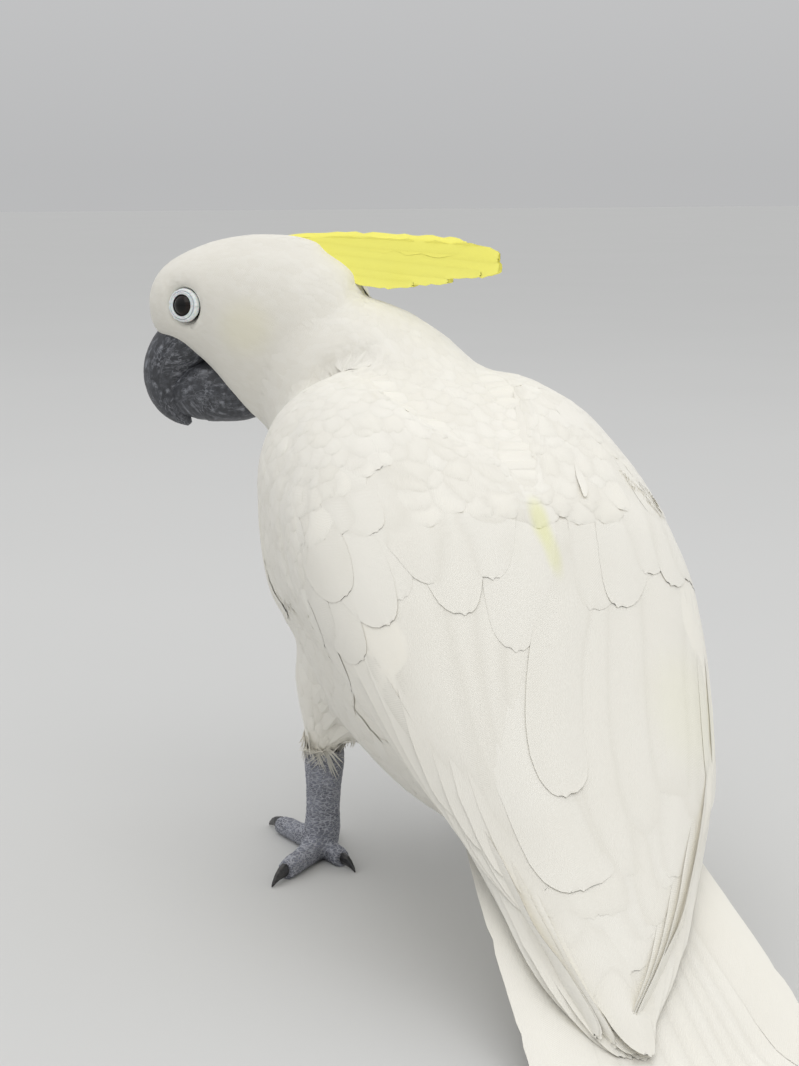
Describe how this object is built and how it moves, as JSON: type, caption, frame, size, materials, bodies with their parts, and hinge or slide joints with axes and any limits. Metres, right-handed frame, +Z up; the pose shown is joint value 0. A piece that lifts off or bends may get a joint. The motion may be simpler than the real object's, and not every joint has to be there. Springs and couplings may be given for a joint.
{
  "type": "white cockatoo",
  "caption": "White cockatoo with a folded yellow crest and dark bill, standing and looking back over its left side.",
  "frame": {"origin": "on the floor under the middle of the bird's outline seen from above", "axes": "+Z up, +Y backwards along the body towards the tail, +X to the bird's left"},
  "size_m": [0.1644, 0.375, 0.2526],
  "materials": {
    "plumage": "matte feathers",
    "crest": "matte feathers",
    "bill": "dusty horn",
    "leg": "scaly skin",
    "claw": "worn horn",
    "eye": "wet",
    "eye_skin": "bare skin"
  },
  "bodies": {
    "root": {"trunk": "plumage", "neck": "plumage", "tail": "plumage", "head": "plumage", "forecrest": "plumage", "wing_left": "plumage", "wing_right": "plumage", "thigh_left": "plumage", "thigh_right": "plumage", "crest": "crest", "bill_upper": "bill", "bill_lower": "bill", "foot_left": "leg", "foot_right": "leg", "claw_inner_front_left": "claw", "claw_outer_front_left": "claw", "claw_outer_back_left": "claw", "claw_inner_back_left": "claw", "claw_inner_front_right": "claw", "claw_outer_front_right": "claw", "claw_outer_back_right": "claw", "claw_inner_back_right": "claw", "eye_left": "eye", "eye_right": "eye", "eye_ring_left": "eye_skin", "eye_ring_right": "eye_skin"}
  },
  "joints": []
}
